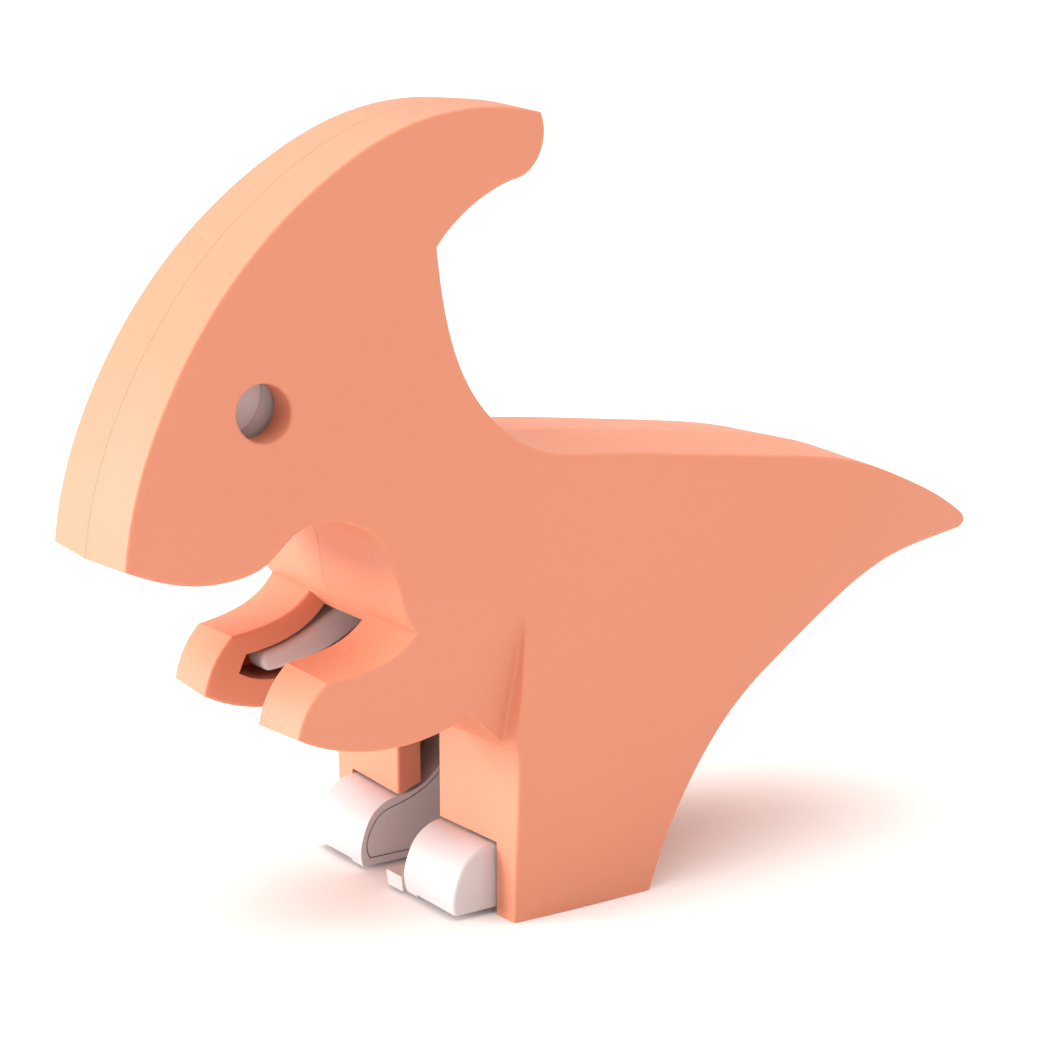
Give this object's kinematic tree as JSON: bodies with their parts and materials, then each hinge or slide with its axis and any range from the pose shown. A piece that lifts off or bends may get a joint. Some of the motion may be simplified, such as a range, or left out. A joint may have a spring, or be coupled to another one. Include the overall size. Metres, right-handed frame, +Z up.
{
  "type": "dinosaur puzzle figure",
  "caption": "Crested duck-billed dinosaur desk figure: two hollow half shells that pull off sideways, over a white bone puzzle with swinging legs.",
  "frame": {"origin": "bottom centre of the figure's box, on the table between the legs' soles", "axes": "+Z up, -X the way the head looks, +X the tail, -Y the figure's left side"},
  "size_m": [0.1221, 0.0426, 0.0948],
  "materials": {
    "shell": "soft matt, fine moulded grain",
    "bone": "satin white",
    "magnet": "nickel plated",
    "pin": "ground steel"
  },
  "bodies": {
    "skeleton": {"spine": "bone", "spine_magnets": "magnet", "left_skull": "bone", "right_skull": "bone", "orbit_discs": "bone", "crest_bone": "bone", "lower_jaw": "bone", "left_ribs": "bone", "right_ribs": "bone", "left_pelvis": "bone", "right_pelvis": "bone", "tail_front": "bone", "tail_rear": "bone", "left_arm": "bone", "right_arm": "bone", "hip_pin": "pin", "hip_pin_caps": "bone", "shoulder_pin": "pin"},
    "left_shell": {"left_shell": "shell", "left_shell_magnets": "magnet"},
    "right_shell": {"right_shell": "shell", "right_shell_magnets": "magnet"},
    "left_leg": {"left_leg": "bone", "left_foot_panel": "bone"},
    "right_leg": {"right_leg": "bone", "right_foot_panel": "bone"}
  },
  "joints": [
    {"name": "left_shell_off", "type": "slide", "parent": "skeleton", "child": "left_shell", "axis": [0, -1, 0], "range_m": [0, 0.05]},
    {"name": "right_shell_off", "type": "slide", "parent": "skeleton", "child": "right_shell", "axis": [0, 1, 0], "range_m": [0, 0.05]},
    {"name": "left_leg_swing", "type": "hinge", "parent": "skeleton", "child": "left_leg", "pos_m": [-0.0058, -0.007, 0.0385], "axis": [0, -1, 0], "range_deg": [0, 6]},
    {"name": "right_leg_swing", "type": "hinge", "parent": "skeleton", "child": "right_leg", "pos_m": [-0.0058, 0.007, 0.0385], "axis": [0, -1, 0], "range_deg": [0, 6]}
  ]
}
